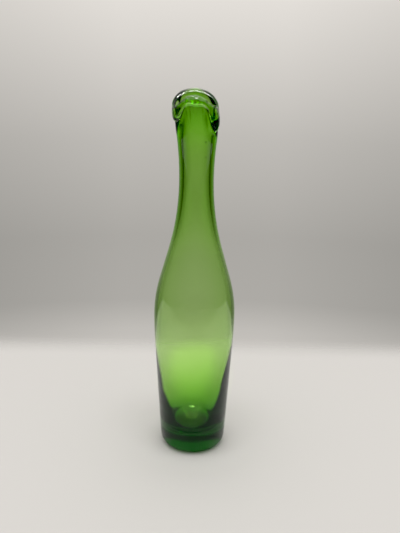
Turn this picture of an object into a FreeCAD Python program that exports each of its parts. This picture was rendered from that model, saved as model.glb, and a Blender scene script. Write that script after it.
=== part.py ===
import FreeCAD, Part
import math
import os

import Sketcher

# Glass bud vase, blown and tooled from one gather of clear green glass.
# Frame: the origin is the centre of the foot's underside, +Z runs up the axis, and the short
# front drop of the folded lip faces -Y. Lengths are in millimetres.
# The glass is cut on level planes into the regions that a glassmaker names: the solid base, the
# body, the shoulder, the neck and the folded lip. They meet face to face and are fused all round.

SIZES = {
    # outside of the base and the body
    "base_side_radius": 22.4,
    "heel_round": 6.0,
    "base_top_height": 23.0,
    "base_top_radius": 23.7,
    "taper_end_height": 76.0,
    "taper_end_radius": 26.75,
    "widest_height": 99.0,
    "widest_radius": 27.5,
    "belly_arc": 353.0,
    # underside: the shallow hollow ground and polished where the vase was broken off its rod
    "underside_hollow_radius": 9.0,
    "underside_hollow_depth": 0.6,
    "underside_hollow_arc": 68.0,
    # cavity in the base and the body
    "floor_height": 12.5,
    "floor_radius": 6.0,
    "bowl_top_radius": 17.2,
    "bowl_arc": 12.0,
    "thin_wall_height": 50.0,
    "thin_wall_bore": 22.4,
    "taper_end_bore": 25.2,
    "widest_bore": 25.7,
    "belly_bore_arc": 353.0,
    # shoulder
    "round_end_height": 125.0,
    "round_end_radius": 23.85,
    "round_end_bore": 22.0,
    "shoulder_arc": 95.0,
    "shoulder_bore_arc": 93.2,
    "shoulder_top_height": 146.0,
    "shoulder_top_radius": 17.9,
    "shoulder_top_bore": 15.8,
    # neck
    "waist_height": 194.0,
    "waist_radius": 11.2,
    "waist_bore": 8.2,
    "lower_neck_arc": 175.0,
    "lower_neck_bore_arc": 155.0,
    "neck_top_height": 222.0,
    "neck_top_radius": 13.0,
    "neck_top_bore": 9.2,
    "upper_neck_arc": 218.0,
    # folded lip: its section changes round the axis between these front, side and back values
    "throat_radius": 8.4,
    "front_cup_floor": 243.0,
    "side_cup_floor": 230.5,
    "back_cup_floor": 241.0,
    "front_mouth_radius": 9.2,
    "side_mouth_radius": 12.3,
    "back_mouth_radius": 8.8,
    "front_crest_radius": 11.0,
    "side_crest_radius": 14.0,
    "back_crest_radius": 13.2,
    "front_crest_height": 249.6,
    "side_crest_height": 240.8,
    "back_crest_height": 250.0,
    "front_flap_radius": 13.5,
    "side_flap_radius": 15.0,
    "back_flap_radius": 17.4,
    "front_flap_height": 246.8,
    "side_flap_height": 235.5,
    "back_flap_height": 246.0,
    "front_hem_height": 243.9,
    "right_hem_height": 226.8,
    "left_hem_height": 232.0,
    "back_hem_height": 240.0,
    "front_under_radius": 12.6,
    "side_under_radius": 13.4,
    "back_under_radius": 14.4,
    "rim_round": 1.4,
    "lip_lean": -2.2,
}


def add_sheet(doc):
    # The driving dimensions, one row each: the name, then the value under that name.
    sheet = doc.addObject("Spreadsheet::Sheet", "Sizes")
    for row, (name, value) in enumerate(SIZES.items(), start=1):
        sheet.set(f"A{row}", name)
        sheet.set(f"B{row}", str(value))
        sheet.setAlias(f"B{row}", name)
    doc.recompute()
    return sheet


def size(name):
    return float(sheet.get(name))


def bulged_arc(start, end, radius, side):
    # The arc from start to end that bulges away from the axis (side +1) or towards it (-1).
    chord = end - start
    across = FreeCAD.Vector(chord.y, -chord.x, 0).normalize()
    if across.x < 0:
        across = across * -1
    bulge = radius - math.sqrt(radius**2 - (chord.Length / 2) ** 2)
    return Part.Arc(start, (start + end) * 0.5 + across * (side * bulge), end)


def add_outline(body, name, corners, arcs):
    # A closed outline on the body's own XZ plane. Each corner names the cells of its radius and
    # its height, or None on the axis or at the foot's level. arcs gives, for the edge that leaves
    # a corner, the cell of its radius and the side that it bulges to.
    sketch = body.newObject("Sketcher::SketchObject", name)
    planes = {plane.Role: plane for plane in body.Origin.OriginFeatures}
    sketch.AttachmentSupport = [(planes["XZ_Plane"], "")]
    sketch.MapMode = "FlatFace"

    def place(corner):
        radius, height = corner
        return FreeCAD.Vector(size(radius) if radius else 0, size(height) if height else 0, 0)

    ends = []
    for i, corner in enumerate(corners):
        start = place(corner)
        end = place(corners[(i + 1) % len(corners)])
        if i in arcs:
            edge = sketch.addGeometry(bulged_arc(start, end, size(arcs[i][0]), arcs[i][1]), False)
        else:
            edge = sketch.addGeometry(Part.LineSegment(start, end), False)
        forward = sketch.getPoint(edge, 1).distanceToPoint(start) < 1e-6
        ends.append((edge, 1, 2) if forward else (edge, 2, 1))

    for i, (edge, start, _) in enumerate(ends):
        before, _, before_end = ends[i - 1]
        sketch.addConstraint(Sketcher.Constraint("Coincident", before, before_end, edge, start))
        for cell, kind, axis in zip(corners[i], ("DistanceX", "DistanceY"), (-2, -1)):
            if cell is None:
                sketch.addConstraint(Sketcher.Constraint("PointOnObject", edge, start, axis))
                continue
            rule = sketch.addConstraint(Sketcher.Constraint(kind, -1, 1, edge, start, size(cell)))
            sketch.setExpression(f"Constraints[{rule}]", f"Sizes.{cell}")
        if i in arcs:
            cell = arcs[i][0]
            rule = sketch.addConstraint(Sketcher.Constraint("Radius", edge, size(cell)))
            sketch.setExpression(f"Constraints[{rule}]", f"Sizes.{cell}")
    return sketch


def turn(body, sketch, kind, name):
    # Revolve the outline once round the vase's axis: Revolution adds glass, Groove removes it.
    feature = body.newObject(f"PartDesign::{kind}", name)
    feature.Profile = sketch
    feature.ReferenceAxis = (sketch, ["V_Axis"])
    feature.Angle = 360.0
    return feature


def add_turned_wall(doc, node, corners, arcs):
    body = doc.addObject("PartDesign::Body", node)
    body.Label = node
    turn(body, add_outline(body, f"{node}_outline", corners, arcs), "Revolution", f"{node}_turned")
    return body


def make_solid_base(doc):
    # The heavy foot: solid glass, with a rounded heel, the bowl of the cavity in its top and a
    # shallow ground hollow in its underside.
    body = add_turned_wall(
        doc,
        "solid_base",
        [
            (None, None),
            ("base_side_radius", None),
            ("base_top_radius", "base_top_height"),
            ("bowl_top_radius", "base_top_height"),
            ("floor_radius", "floor_height"),
            (None, "floor_height"),
        ],
        {3: ("bowl_arc", 1)},
    )
    doc.recompute()
    blank = body.Tip.Shape.Volume

    hollow_outline = add_outline(
        body,
        "underside_hollow_outline",
        [(None, None), ("underside_hollow_radius", None), (None, "underside_hollow_depth")],
        {1: ("underside_hollow_arc", 1)},
    )
    hollow = turn(body, hollow_outline, "Groove", "underside_hollow")
    doc.recompute()
    if hollow.Shape.Volume >= blank:
        raise RuntimeError("the underside hollow cut nothing")

    rim = [
        f"Edge{i}"
        for i, edge in enumerate(hollow.Shape.Edges, start=1)
        if edge.BoundBox.ZMax < 0.01 and edge.BoundBox.XMax > size("base_side_radius") - 0.1
    ]
    heel = body.newObject("PartDesign::Fillet", "heel")
    heel.Base = (hollow, rim)
    heel.setExpression("Radius", "Sizes.heel_round")
    body.Tip = heel
    return body


def make_body_wall(doc):
    # The blown body: a thick wall that thins upwards to the widest level.
    return add_turned_wall(
        doc,
        "body_wall",
        [
            ("base_top_radius", "base_top_height"),
            ("taper_end_radius", "taper_end_height"),
            ("widest_radius", "widest_height"),
            ("widest_bore", "widest_height"),
            ("taper_end_bore", "taper_end_height"),
            ("thin_wall_bore", "thin_wall_height"),
            ("bowl_top_radius", "base_top_height"),
        ],
        {1: ("belly_arc", 1), 3: ("belly_bore_arc", 1)},
    )


def make_shoulder_wall(doc):
    # The shoulder: rounds over from the widest level, then runs straight in towards the neck.
    return add_turned_wall(
        doc,
        "shoulder_wall",
        [
            ("widest_radius", "widest_height"),
            ("round_end_radius", "round_end_height"),
            ("shoulder_top_radius", "shoulder_top_height"),
            ("shoulder_top_bore", "shoulder_top_height"),
            ("round_end_bore", "round_end_height"),
            ("widest_bore", "widest_height"),
        ],
        {0: ("shoulder_arc", 1), 4: ("shoulder_bore_arc", 1)},
    )


def make_neck_wall(doc):
    # The neck: drawn in to a waist, then opening a little towards the lip.
    return add_turned_wall(
        doc,
        "neck_wall",
        [
            ("shoulder_top_radius", "shoulder_top_height"),
            ("waist_radius", "waist_height"),
            ("neck_top_radius", "neck_top_height"),
            ("neck_top_bore", "neck_top_height"),
            ("waist_bore", "waist_height"),
            ("shoulder_top_bore", "shoulder_top_height"),
        ],
        {0: ("lower_neck_arc", -1), 1: ("upper_neck_arc", -1), 4: ("lower_neck_bore_arc", -1)},
    )


def lip_section(angle):
    # One closed section of the lip, in the plane that stands at this angle round the axis: up the
    # cup of the mouth, over the crest, down the folded flap to its hem, and in to the neck. The
    # crest is high at front and back and low at the sides, like a saddle. The hem is short in
    # front and at the back, and hangs down at the two sides, lower on the right.
    across = math.cos(angle)
    along = math.sin(angle)
    end_name = "front" if along < 0 else "back"

    def blend(name):
        end = size(f"{end_name}_{name}")
        return end + (size(f"side_{name}") - end) * across**2

    base = size("neck_top_height")
    climb = size("back_crest_height") - base
    throat = size("throat_radius")
    mouth = blend("mouth_radius")
    crest_radius = blend("crest_radius")
    crest = blend("crest_height")
    rim = crest - size("rim_round")
    flap_radius = blend("flap_radius")
    flap = blend("flap_height")
    under = blend("under_radius")

    side_hem = size("right_hem_height" if across > 0 else "left_hem_height")
    turned = across**2
    if along < 0:
        turned = min(max((across**2 - 0.22) / 0.5, 0.0), 1.0)
        turned = turned * turned * (3 - 2 * turned)
    end_hem = size(f"{end_name}_hem_height")
    hem = end_hem + (side_hem - end_hem) * turned
    hem_radius = under + 0.35 * (flap_radius - under)

    def point(radius, height):
        shift = size("lip_lean") * ((height - base) / climb) ** 1.5
        return FreeCAD.Vector(radius * across + shift, radius * along, height)

    def curve(*points):
        spline = Part.BSplineCurve()
        spline.interpolate([point(*place) for place in points])
        return spline

    cup_floor = blend("cup_floor")
    bend = 0.3
    bore_side = curve(
        (size("neck_top_bore"), base),
        (throat, (base + cup_floor) / 2),
        (throat + bend, cup_floor),
        (mouth, rim),
    )
    crown = []
    for step in range(-3, 4):
        out = math.sin(math.radians(30 * step))
        level = math.cos(math.radians(30 * step))
        if step < 0:
            crown.append((crest_radius + (crest_radius - mouth) * out, rim + (crest - rim) * level))
        else:
            reach = flap_radius - crest_radius
            crown.append((crest_radius + reach * out, flap + (crest - flap) * level))
    over = curve(*crown)
    down = curve(
        (flap_radius, flap),
        (hem_radius + (flap_radius - hem_radius) * 0.8, flap + (hem - flap) * 0.6),
        (hem_radius, hem),
    )
    hem_edge = Part.LineSegment(point(hem_radius, hem), point(under, hem + 0.4))
    neck_side = Part.LineSegment(point(under, hem + 0.4), point(size("neck_top_radius"), base))
    seat = Part.LineSegment(point(size("neck_top_radius"), base), point(size("neck_top_bore"), base))
    edges = [edge.toShape() for edge in (bore_side, over, down, hem_edge, neck_side, seat)]
    return Part.Wire(edges)


def make_folded_lip(doc):
    # The lip, turned out and folded down while hot. Its section changes all the way round, so it
    # is lofted through sections spaced evenly round the axis.
    sections = 24
    ring = [lip_section(2 * math.pi * i / sections) for i in range(sections)]
    lip = doc.addObject("Part::Feature", "folded_lip")
    lip.Label = "folded_lip"
    loft = Part.makeLoft(ring, True, False, True)
    lip.Shape = loft
    lip.Placement = FreeCAD.Placement()
    return lip


doc = FreeCAD.newDocument("glass_bud_vase")
sheet = add_sheet(doc)
nodes = [
    make_solid_base(doc),
    make_body_wall(doc),
    make_shoulder_wall(doc),
    make_neck_wall(doc),
    make_folded_lip(doc),
]
doc.recompute()

for thing in doc.Objects:
    if "Invalid" in thing.State or "Error" in thing.State:
        raise RuntimeError(f"{thing.Label} did not recompute: {thing.State}")
for node in nodes:
    if node.Shape.isNull() or not node.Shape.isValid() or len(node.Shape.Solids) != 1:
        raise RuntimeError(f"{node.Label} is not one valid solid")

os.makedirs("parts", exist_ok=True)
for node in nodes:
    node.Shape.exportStep(f"parts/{node.Label}.step")
    box = node.Shape.BoundBox
    print(
        f"{node.Label}: volume {node.Shape.Volume:.0f} mm3, "
        f"x {box.XMin:.2f} to {box.XMax:.2f}, y {box.YMin:.2f} to {box.YMax:.2f}, "
        f"z {box.ZMin:.2f} to {box.ZMax:.2f}"
    )
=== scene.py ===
import math

import bmesh
import bpy
from mathutils import Matrix, Vector, noise


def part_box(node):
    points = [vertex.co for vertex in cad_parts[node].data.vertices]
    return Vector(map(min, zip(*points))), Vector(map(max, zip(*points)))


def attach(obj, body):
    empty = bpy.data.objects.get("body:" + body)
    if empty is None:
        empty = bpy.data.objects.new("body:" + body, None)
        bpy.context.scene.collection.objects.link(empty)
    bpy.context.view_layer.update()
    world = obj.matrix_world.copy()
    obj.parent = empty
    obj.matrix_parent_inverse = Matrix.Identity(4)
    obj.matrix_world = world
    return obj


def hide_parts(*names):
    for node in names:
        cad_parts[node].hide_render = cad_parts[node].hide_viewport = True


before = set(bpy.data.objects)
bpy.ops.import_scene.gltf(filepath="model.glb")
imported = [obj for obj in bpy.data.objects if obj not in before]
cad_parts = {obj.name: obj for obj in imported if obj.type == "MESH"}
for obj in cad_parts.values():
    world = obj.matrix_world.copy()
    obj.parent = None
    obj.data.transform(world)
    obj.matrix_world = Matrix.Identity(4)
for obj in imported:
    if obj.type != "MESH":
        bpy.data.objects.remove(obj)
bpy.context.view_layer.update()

# ---------------------------------------------------------------------------------------------
# The camera. It stands in front of the vase, higher than the lip, looks down at the body and is
# held about a degree off level. Tones at or below black_tone are shown as black.
eye_distance = 0.532
eye_height = 0.341
eye_side = 0.0033
look_down = math.radians(21.3)
camera_roll = math.radians(1.06)
black_tone = (0.017, 0.010, 0.014)

camera_data = bpy.data.cameras.new("camera")
camera_data.sensor_width = 36.0
camera_data.lens = 57.6
camera_data.clip_start = 0.01
camera_data.clip_end = 50.0
camera = bpy.data.objects.new("camera", camera_data)
bpy.context.scene.collection.objects.link(camera)
camera.matrix_world = (
    Matrix.Translation((eye_side, -eye_distance, eye_height))
    @ Matrix.Rotation(math.radians(90) - look_down, 4, "X")
    @ Matrix.Rotation(camera_roll, 4, "Z")
)
bpy.context.scene.camera = camera
view = bpy.context.scene.view_settings
view.view_transform = "Standard"
view.use_curve_mapping = True
view.curve_mapping.black_level = black_tone
view.curve_mapping.update()

# ---------------------------------------------------------------------------------------------
# The stage's table: a pale matt top whose edges fade out, so that no hard line stands behind the
# vase. The light that the glass gathers is painted on it, with painted shade towards the front and
# painted light close round the foot.
table_front = -1.40
table_back = 0.172
table_side = 0.62
edge_fades = {"back": 0.05, "side": 0.05, "front": 0.90}
table_colour = (0.535, 0.532, 0.532, 1)
# The colour, place and size of the painted pool of light that the glass gathers behind it.
painted_caustic_colour = (0.61, 0.68, 0.50, 1)
painted_caustic_behind = 0.105
painted_caustic_narrowness = 0.40
painted_caustic_core = 0.012
painted_caustic_rim = 0.037

bpy.ops.object.select_all(action="DESELECT")
bpy.ops.mesh.primitive_plane_add(size=1)
table = bpy.context.object
table.name = "table_top"
for corner in table.data.vertices:
    corner.co.x = math.copysign(table_side, corner.co.x)
    corner.co.y = table_back if corner.co.y > 0 else table_front


def add_node(tree, kind, inputs, **settings):
    # A node with its settings, and with each input linked to a socket or set to a plain value.
    node = tree.nodes.new(kind)
    for name, setting in settings.items():
        setattr(node, name, setting)
    for name, value in inputs.items():
        if isinstance(value, bpy.types.NodeSocket):
            tree.links.new(value, node.inputs[name])
        else:
            node.inputs[name].default_value = value
    return node


table_paint = bpy.data.materials.new("pale_table")
table_paint.use_nodes = True
tree = table_paint.node_tree
tree.nodes.clear()
place = add_node(tree, "ShaderNodeTexCoord", {}).outputs["Object"]
axes = add_node(tree, "ShaderNodeSeparateXYZ", {0: place})

# The fade at the two sides, the back and the front.
sideways = add_node(tree, "ShaderNodeMath", {0: axes.outputs["X"]}, operation="ABSOLUTE")
table_edges = [
    (sideways.outputs[0], table_side, table_side - edge_fades["side"]),
    (axes.outputs["Y"], table_back, table_back - edge_fades["back"]),
    (axes.outputs["Y"], table_front, table_front + edge_fades["front"]),
]
gone = None
for across, edge_end, edge_start in table_edges:
    edge = add_node(
        tree,
        "ShaderNodeMapRange",
        {"Value": across, "From Min": edge_start, "From Max": edge_end},
        interpolation_type="SMOOTHERSTEP",
    )
    if gone is None:
        gone = edge
        continue
    either = {0: gone.outputs[0], 1: edge.outputs[0]}
    gone = add_node(tree, "ShaderNodeMath", either, operation="MAXIMUM")

# A painted pool of green light, long and soft, on the table behind the vase, where the glass
# gathers light.
to_painted_caustic = add_node(
    tree,
    "ShaderNodeVectorMath",
    {0: place, 1: (1.0, painted_caustic_narrowness, 0.0), 2: (0.0, -painted_caustic_behind * painted_caustic_narrowness, 0.0)},
    operation="MULTIPLY_ADD",
)
off_painted_caustic = add_node(tree, "ShaderNodeVectorMath", {0: to_painted_caustic.outputs[0]}, operation="LENGTH")
painted_caustic_mask = add_node(
    tree,
    "ShaderNodeMapRange",
    {"Value": off_painted_caustic.outputs["Value"], "From Min": painted_caustic_rim, "From Max": painted_caustic_core},
    interpolation_type="SMOOTHERSTEP",
)
shade_of_paint = add_node(
    tree,
    "ShaderNodeMix",
    {0: painted_caustic_mask.outputs[0], 6: table_colour, 7: painted_caustic_colour},
    data_type="RGBA",
)

# Painted shade darkens the table towards the front of the tent, and painted light makes it palest
# close round the foot, where it lightens the vase's shadow. Each row gives a distance, its two
# ends, and the share of the paint's tone at each end.
from_foot = add_node(tree, "ShaderNodeVectorMath", {0: place}, operation="LENGTH")
painted_shade_and_light_steps = [
    (axes.outputs["Y"], -0.32, -0.12, 0.25, 1.0),
    (from_foot.outputs["Value"], 0.024, 0.050, 1.06, 1.0),
]
tone = shade_of_paint.outputs[2]
for distance, low, high, tone_low, tone_high in painted_shade_and_light_steps:
    step = add_node(
        tree,
        "ShaderNodeMapRange",
        {
            "Value": distance,
            "From Min": low,
            "From Max": high,
            "To Min": tone_low,
            "To Max": tone_high,
        },
        interpolation_type="SMOOTHSTEP",
    )
    scaled = {0: tone, "Scale": step.outputs[0]}
    tone = add_node(tree, "ShaderNodeVectorMath", scaled, operation="SCALE").outputs[0]

paint = add_node(tree, "ShaderNodeBsdfDiffuse", {"Color": tone})
clear = add_node(tree, "ShaderNodeBsdfTransparent", {})
fade = add_node(
    tree,
    "ShaderNodeMixShader",
    {0: gone.outputs[0], 1: paint.outputs[0], 2: clear.outputs[0]},
)
add_node(tree, "ShaderNodeOutputMaterial", {"Surface": fade.outputs[0]})
table.data.materials.append(table_paint)

# ---------------------------------------------------------------------------------------------
# The light tent round the stage: walls of warm white cloth, darkest low down behind the table and
# brighter towards the roof. They are lit behind the vase and overhead, and dim elsewhere.
cloth_tint = (1.03, 0.985, 0.93)
roof_strength = 1.3
# The sine of the elevation, and the wall's brightness there.
wall_tones = [
    (-1.0, 0.52),
    (-0.46, 0.57),
    (-0.43, 0.52),
    (-0.40, 0.415),
    (-0.33, 0.405),
    (-0.22, 0.51),
    (-0.07, 0.745),
    (0.10, 1.30),
    (0.6, 1.40),
    (1.0, 1.00),
]
# The share of a half turn away from straight behind the vase, and the wall's strength there.
side_tones = [(0.03, 1.0), (0.35, 0.10), (0.60, 0.10), (0.85, 0.18), (1.0, 0.20)]

tent = bpy.data.worlds.new("light_tent")
tent.use_nodes = True
bpy.context.scene.world = tent
tree = tent.node_tree
tree.nodes.clear()


def add_ramp(value, stops):
    # A colour ramp on a socket. All its stops are placed before any of them is coloured.
    ramp = add_node(tree, "ShaderNodeValToRGB", {"Fac": value})
    marks = ramp.color_ramp.elements
    while len(marks) < len(stops):
        marks.new(0.5)
    for mark, (position, colour) in zip(marks, stops):
        mark.position = position
    for mark, (position, colour) in zip(marks, stops):
        mark.color = (*colour, 1)
    return ramp


direction = add_node(tree, "ShaderNodeTexCoord", {}).outputs["Generated"]
axes = add_node(tree, "ShaderNodeSeparateXYZ", {0: direction})
rise = add_node(
    tree,
    "ShaderNodeMapRange",
    {"Value": axes.outputs["Z"], "From Min": -1.0, "From Max": 1.0},
)
wall = add_ramp(
    rise.outputs["Result"],
    [((sine + 1) / 2, [tone * tint for tint in cloth_tint]) for sine, tone in wall_tones],
)
bearing = {0: axes.outputs["X"], 1: axes.outputs["Y"]}
turned = add_node(tree, "ShaderNodeMath", bearing, operation="ARCTAN2")
turned_away = add_node(tree, "ShaderNodeMath", {0: turned.outputs[0]}, operation="ABSOLUTE")
half_turns = {0: turned_away.outputs[0], 1: math.pi}
part_turned = add_node(tree, "ShaderNodeMath", half_turns, operation="DIVIDE")
sides = add_ramp(part_turned.outputs[0], [(turn, [tone] * 3) for turn, tone in side_tones])
overhead = add_node(
    tree,
    "ShaderNodeMapRange",
    {"Value": axes.outputs["Z"], "From Min": 0.10, "From Max": 1.0},
    interpolation_type="SMOOTHSTEP",
)
strength = add_node(
    tree,
    "ShaderNodeMix",
    {0: overhead.outputs["Result"], 2: sides.outputs["Color"], 3: roof_strength},
    data_type="FLOAT",
)
shade = add_node(
    tree,
    "ShaderNodeBackground",
    {"Color": wall.outputs["Color"], "Strength": strength.outputs[0]},
)
add_node(tree, "ShaderNodeOutputWorld", {"Surface": shade.outputs[0]})


def add_softbox(name, place, aim, width, depth, watts):
    # A soft rectangular light that hangs at a place and faces a point.
    lamp_data = bpy.data.lights.new(name, "AREA")
    lamp_data.shape = "RECTANGLE"
    lamp_data.size = width
    lamp_data.size_y = depth
    lamp_data.energy = watts
    lamp = bpy.data.objects.new(name, lamp_data)
    bpy.context.scene.collection.objects.link(lamp)
    lamp.location = place
    lamp.rotation_euler = (Vector(aim) - Vector(place)).to_track_quat("-Z", "Y").to_euler()
    return lamp


# The first lights the table and the glass. The second only shows as highlights on the glass.
add_softbox("roof_light", (0.0, -0.05, 0.65), (0.0, 0.0, 0.1), 0.16, 0.04, 0.85)
roof_panel = add_softbox("roof_panel", (0.0, -0.14, 0.65), (0.0, 0.0, 0.24), 0.24, 0.14, 2.6)
roof_panel.visible_diffuse = False

# ---------------------------------------------------------------------------------------------
# The vase: one gather of clear green glass, blown and pulled into a long-necked bottle on a heavy
# solid foot. The rings of the outline are drawn upwards outside, over the lip and down inside.
# Its sizes are in millimetres, and each corner of the outline is a radius and a height.
MM = 0.001
base_top = round(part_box("solid_base")[1][2] / MM, 1)
widest_level = round(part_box("body_wall")[1][2] / MM, 1)
shoulder_top = round(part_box("shoulder_wall")[1][2] / MM, 1)
neck_top = round(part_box("neck_wall")[1][2] / MM, 1)
lip_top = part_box("folded_lip")[1][2] / MM
ring_points = 128

ground_hollow = [(1.0, 0.6), (5.0, 0.42), (9.0, 0.05), (10.0, 0.0)]
heel_start, heel_end = (16.4, 0.0), (22.75, 6.0)
taper_end, taper_end_bore = (26.75, 76.0), (25.2, 76.0)
widest, widest_bore = (27.5, widest_level), (25.7, widest_level)
round_end, round_end_bore = (23.85, 125.0), (22.0, 125.0)
shoulder_end, shoulder_end_bore = (17.9, shoulder_top), (15.8, shoulder_top)
waist, waist_bore = (11.2, 194.0), (8.2, 194.0)
neck_end, neck_end_bore = (13.0, neck_top), (9.2, neck_top)
thin_wall_bore = (22.3, 50.0)
bowl_rim = (17.2, base_top)
bowl_depth = 10.5
bowl_fullness = 2.2
bowl_rings = 8


def arc_steps(start, end, radius, side, steps):
    # The points of an arc from start to end, without its start; side +1 bulges off the axis.
    (r0, z0), (r1, z1) = start, end
    chord = math.hypot(r1 - r0, z1 - z0)
    across = Vector((z1 - z0, r0 - r1)) / chord
    if across.x < 0:
        across = -across
    depth = radius - math.sqrt(radius**2 - chord**2 / 4)
    centre = (Vector(start) + Vector(end)) / 2 + across * side * (depth - radius)
    first = math.atan2(z0 - centre.y, r0 - centre.x)
    sweep = math.atan2(z1 - centre.y, r1 - centre.x) - first
    sweep = (sweep + math.pi) % (2 * math.pi) - math.pi
    return [
        (
            centre.x + radius * math.cos(first + sweep * i / steps),
            centre.y + radius * math.sin(first + sweep * i / steps),
        )
        for i in range(1, steps + 1)
    ]


def line_steps(start, end, steps):
    # The points of a straight stretch from start to end, without its start.
    return [
        (
            start[0] + (end[0] - start[0]) * i / steps,
            start[1] + (end[1] - start[1]) * i / steps,
        )
        for i in range(1, steps + 1)
    ]


outside = [*ground_hollow, heel_start]
outside += arc_steps(heel_start, heel_end, radius=6.2, side=1, steps=5)
outside += line_steps(outside[-1], taper_end, steps=8)
outside += arc_steps(taper_end, widest, radius=353.0, side=1, steps=3)
outside += arc_steps(widest, round_end, radius=95.0, side=1, steps=5)
outside += line_steps(round_end, shoulder_end, steps=3)
outside += arc_steps(shoulder_end, waist, radius=175.0, side=-1, steps=7)
outside += arc_steps(waist, neck_end, radius=218.0, side=-1, steps=5)

# The lip's rings only stand in a plain cone here. The tooling below gives each point its place.
lip_rings = 35
lip_first = len(outside)
lip = [(neck_end[0] - 0.1 * i, neck_top + 0.7 * i) for i in range(1, lip_rings)]
lip.append(neck_end_bore)

inside = arc_steps(neck_end_bore, waist_bore, radius=320.0, side=-1, steps=4)
inside += arc_steps(waist_bore, shoulder_end_bore, radius=155.0, side=-1, steps=7)
inside += line_steps(shoulder_end_bore, round_end_bore, steps=3)
inside += arc_steps(round_end_bore, widest_bore, radius=93.2, side=1, steps=5)
inside += arc_steps(widest_bore, taper_end_bore, radius=353.0, side=1, steps=3)
inside += arc_steps(taper_end_bore, thin_wall_bore, radius=353.0, side=1, steps=3)
inside += arc_steps(thin_wall_bore, bowl_rim, radius=200.0, side=1, steps=5)
for i in range(1, bowl_rings + 1):
    reach = 1 - i / (bowl_rings + 0.3)
    sink = bowl_depth * (1 - reach**bowl_fullness) ** (1 / bowl_fullness)
    inside.append((bowl_rim[0] * reach, base_top - sink))

# One circle is extruded from ring to ring, and its two ends are closed to a middle point.
rings = outside + lip + inside
last_radius, last_height = rings[0]
bpy.ops.object.select_all(action="DESELECT")
bpy.ops.mesh.primitive_circle_add(
    vertices=ring_points, radius=last_radius * MM, location=(0, 0, 0)
)
vase = bpy.context.object
vase.name = "green_glass_vase"
bpy.ops.object.mode_set(mode="EDIT")
bpy.ops.mesh.select_all(action="SELECT")
bpy.ops.transform.translate(value=(0, 0, last_height * MM))
for radius, height in rings[1:]:
    bpy.ops.mesh.extrude_region_move(
        TRANSFORM_OT_translate={"value": (0, 0, (height - last_height) * MM)}
    )
    grow = radius / last_radius
    bpy.ops.transform.resize(value=(grow, grow, 1), center_override=(0, 0, 0))
    last_radius, last_height = radius, height
bpy.ops.mesh.edge_face_add()
bpy.ops.mesh.poke()
bpy.ops.mesh.select_all(action="DESELECT")
shape = bmesh.from_edit_mesh(vase.data)
for edge in shape.edges:
    edge.select = edge.is_boundary
bmesh.update_edit_mesh(vase.data)
bpy.ops.mesh.edge_face_add()
bpy.ops.mesh.poke()
bpy.ops.mesh.select_all(action="SELECT")
bpy.ops.mesh.normals_make_consistent(inside=False)
bpy.ops.object.mode_set(mode="OBJECT")

# Working the lip. It was opened wide, turned outwards and folded down while hot. Each row below
# is one place round the neck: degrees round from the front, to the right; the radius and height
# of the crest; the radius and height of the widest point; the height of the hem; the radius of
# the neck behind the fold; the radius of the mouth; and the height where its cup meets the throat.
lip_sections = [
    (-180, 13.2, 250.0, 17.4, 246.0, 240.0, 14.4, 8.4, 241.0),
    (-155, 13.4, 249.3, 16.7, 245.0, 239.0, 14.2, 9.2, 240.0),
    (-130, 13.8, 247.2, 15.4, 243.0, 236.0, 13.8, 11.3, 236.0),
    (-105, 14.2, 243.6, 15.0, 239.0, 233.0, 13.5, 12.4, 232.0),
    (-85, 14.0, 240.8, 15.0, 236.0, 231.8, 13.4, 12.3, 230.0),
    (-61, 13.5, 242.2, 15.0, 237.5, 232.0, 12.4, 11.3, 233.0),
    (-48, 12.8, 244.3, 14.9, 239.0, 234.0, 12.4, 10.6, 238.0),
    (-36, 12.1, 246.5, 14.5, 242.4, 239.2, 12.5, 10.0, 241.5),
    (-22, 11.4, 248.8, 13.9, 245.8, 243.2, 12.5, 9.4, 242.6),
    (0, 11.0, 249.6, 13.7, 246.2, 243.2, 12.6, 9.2, 243.0),
    (21, 11.4, 248.8, 13.9, 245.6, 242.9, 12.5, 9.4, 242.6),
    (34, 12.1, 246.9, 14.4, 242.8, 240.8, 12.5, 10.0, 241.5),
    (42, 12.7, 245.2, 14.7, 239.5, 233.8, 12.4, 10.4, 239.0),
    (59, 13.5, 242.4, 15.0, 236.0, 225.8, 12.4, 11.3, 234.0),
    (85, 14.0, 240.8, 15.0, 234.0, 228.0, 13.4, 12.3, 230.0),
    (105, 14.2, 243.6, 15.0, 238.0, 230.0, 13.5, 12.4, 231.0),
    (130, 13.8, 247.2, 15.4, 242.0, 234.5, 13.8, 11.3, 235.5),
    (155, 13.4, 249.3, 16.7, 245.0, 238.5, 14.2, 9.2, 240.0),
    (180, 13.2, 250.0, 17.4, 246.0, 240.0, 14.4, 8.4, 241.0),
]
# The hem hangs hem_share of the way out from the neck to the widest point, and the neck flares
# out into the fold by flare_share of its climb.
throat = 8.4
throat_swell = 0.45
rim_round = 1.4
crease_rise = 1.6
hem_share = 0.22
flare_share = 0.10
lip_lean = -2.2
marks_start, marks_full = 240.0, 244.0
mark_depth = 0.85
mark_rise = 0.70
swell_depth = 0.25


def section_at(turned):
    # The lip's section at any angle, eased through the sections listed above.
    for k in range(len(lip_sections) - 1):
        low, high = lip_sections[k], lip_sections[k + 1]
        if turned <= high[0]:
            break
    before = lip_sections[k - 1]
    after = lip_sections[(k + 2) % len(lip_sections)]
    gap = high[0] - low[0]
    t = (turned - low[0]) / gap
    values = []
    for i in range(1, len(low)):
        slope_low = 0.0 if k == 0 else (high[i] - before[i]) / (high[0] - before[0]) * gap
        slope_high = 0.0
        if k + 2 < len(lip_sections):
            slope_high = (after[i] - low[i]) / (after[0] - low[0]) * gap
        values.append(
            (2 * t**3 - 3 * t**2 + 1) * low[i]
            + (t**3 - 2 * t**2 + t) * slope_low
            + (3 * t**2 - 2 * t**3) * high[i]
            + (t**3 - t**2) * slope_high
        )
    return values


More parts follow.
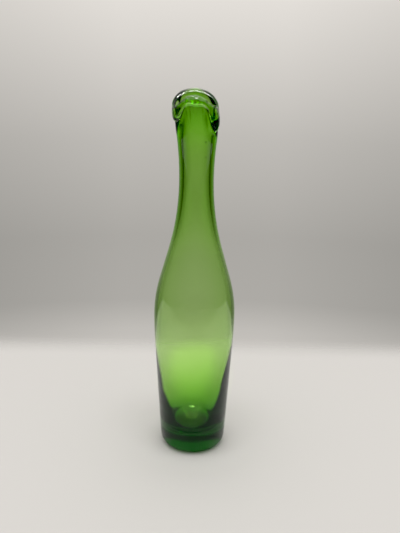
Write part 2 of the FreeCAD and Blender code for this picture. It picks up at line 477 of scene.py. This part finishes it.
def lip_profile(angle):
    # The radius and height of every ring of the lip at one angle round the axis: up the neck, out
    # round the hem, up the flap, over the crest and down the cup to the top of the neck's bore.
    turned = math.degrees(math.atan2(math.cos(angle), -math.sin(angle)))
    section = section_at(turned)
    crest_radius, crest, widest_radius, widest_height, hem, under, mouth_radius, cup_end = section
    hem_radius = under + hem_share * (widest_radius - under)
    crease = hem + min(crease_rise, 0.3 * (crest - hem))

    points = []
    flare = flare_share * (hem - neck_top)
    for i in range(1, 6):
        part = i / 5
        eased = part * part * (3 - 2 * part)
        neck_radius = neck_end[0] + (under - neck_end[0]) * eased
        points.append(
            (neck_radius + flare * part * (1 - part) ** 2, neck_top + (hem - neck_top) * part)
        )
    points.append((under, hem + 0.4 * (crease - hem)))
    points.append((under + 0.02, crease - 0.12))
    points.append((under + 0.22, crease))
    points.append((under + 0.40, crease - 0.15))
    points.append((under + 0.44, hem + 0.5 * (crease - hem)))
    points.append((under + 0.5 * (hem_radius - under), hem + 0.18))
    for i in range(7):
        turn = math.radians(15 * i)
        points.append(
            (
                hem_radius + (widest_radius - hem_radius) * math.sin(turn),
                widest_height - (widest_height - hem) * math.cos(turn),
            )
        )
    for i in range(1, 8):
        turn = math.radians(90 * i / 7)
        points.append(
            (
                widest_radius - (widest_radius - crest_radius) * (1 - math.cos(turn)),
                widest_height + (crest - widest_height) * math.sin(turn),
            )
        )
    for i in range(1, 4):
        turn = math.radians(30 * i)
        points.append(
            (
                crest_radius - (crest_radius - mouth_radius) * math.sin(turn),
                crest - rim_round * (1 - math.cos(turn)),
            )
        )
    rim = crest - rim_round
    for i in range(1, 5):
        part = i / 4
        points.append(
            (mouth_radius + (throat - mouth_radius) * part**2.5, rim + (cup_end - rim) * part)
        )
    points.append((throat, neck_top + 0.66 * (cup_end - neck_top)))
    points.append((throat + throat_swell, neck_top + 0.33 * (cup_end - neck_top)))
    points.append(neck_end_bore)
    return points


# Each point of the lip takes its place in its profile. The front keeps the marks of the tools,
# the whole lip is a little uneven, and it leans to the left.
profiles = {}
for k in range(lip_rings * ring_points):
    v = vase.data.vertices[lip_first * ring_points + k]
    angle = math.atan2(v.co.y, v.co.x)
    key = round(angle, 4)
    if key not in profiles:
        profiles[key] = lip_profile(angle)
    radius, height = profiles[key][k // ring_points]
    rise = max((height - neck_top) / (lip_top - neck_top), 0)
    marked = min(max((height - marks_start) / (marks_full - marks_start), 0.0), 1.0)
    front = max(-math.sin(angle), 0.0) ** 3 * marked
    ripple = noise.noise(Vector((angle * 14.0, height * 0.60, 1.7)))
    swell = noise.noise(Vector((angle * 2.2, height * 0.12, 5.1)))
    radius += mark_depth * front * ripple + swell_depth * min(rise * 2, 1.0) * swell
    v.co = (
        (radius * math.cos(angle) + lip_lean * rise) * MM,
        radius * math.sin(angle) * MM,
        height * MM + mark_rise * front * ripple * MM,
    )

# The bubble of air inside lies a little left of the middle low down, and is a little oval there.
bubble_left = 0.5
bubble_oval = 0.05
bubble_round = 90.0
for v in vase.data.vertices[(lip_first + lip_rings) * ring_points :]:
    low_down = max(1 - v.co.z / (bubble_round * MM), 0)
    v.co.x -= bubble_left * MM * min(low_down * 2, 1)
    v.co.y *= 1 + bubble_oval * low_down**2

smooth = vase.modifiers.new("smooth", "SUBSURF")
smooth.levels = 1
smooth.render_levels = 1
bpy.ops.object.modifier_apply(modifier="smooth")
bpy.ops.object.shade_smooth()

# Two small seeds, bubbles of air caught in the front wall of the neck.
seed_radius = 0.55
for seed_place in ((5.4, -8.9, 211.0), (5.0, -9.1, 220.6)):
    bpy.ops.object.mode_set(mode="EDIT")
    bpy.ops.mesh.select_all(action="DESELECT")
    bpy.ops.mesh.primitive_ico_sphere_add(
        subdivisions=3, radius=seed_radius * MM, location=[place * MM for place in seed_place]
    )
    bpy.ops.mesh.faces_shade_smooth()
    bpy.ops.mesh.flip_normals()
    bpy.ops.object.mode_set(mode="OBJECT")

# The glass is coloured all through: the further light runs in it, the deeper its green.
glass = bpy.data.materials.new("green_glass")
glass.use_nodes = True
tree = glass.node_tree
skin = tree.nodes["Principled BSDF"]
skin.inputs["Base Color"].default_value = (0.99, 1.0, 0.98, 1)
skin.inputs["Transmission Weight"].default_value = 1.0
skin.inputs["Roughness"].default_value = 0.0
skin.inputs["IOR"].default_value = 1.5
body_tint = add_node(
    tree,
    "ShaderNodeVolumeAbsorption",
    {"Color": (0.512, 0.8085, 0.0479, 1), "Density": 355.0},
)
tree.links.new(body_tint.outputs[0], tree.nodes["Material Output"].inputs["Volume"])
vase.data.materials.append(glass)

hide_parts("solid_base", "body_wall", "shoulder_wall", "neck_wall", "folded_lip")
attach(vase, "root")
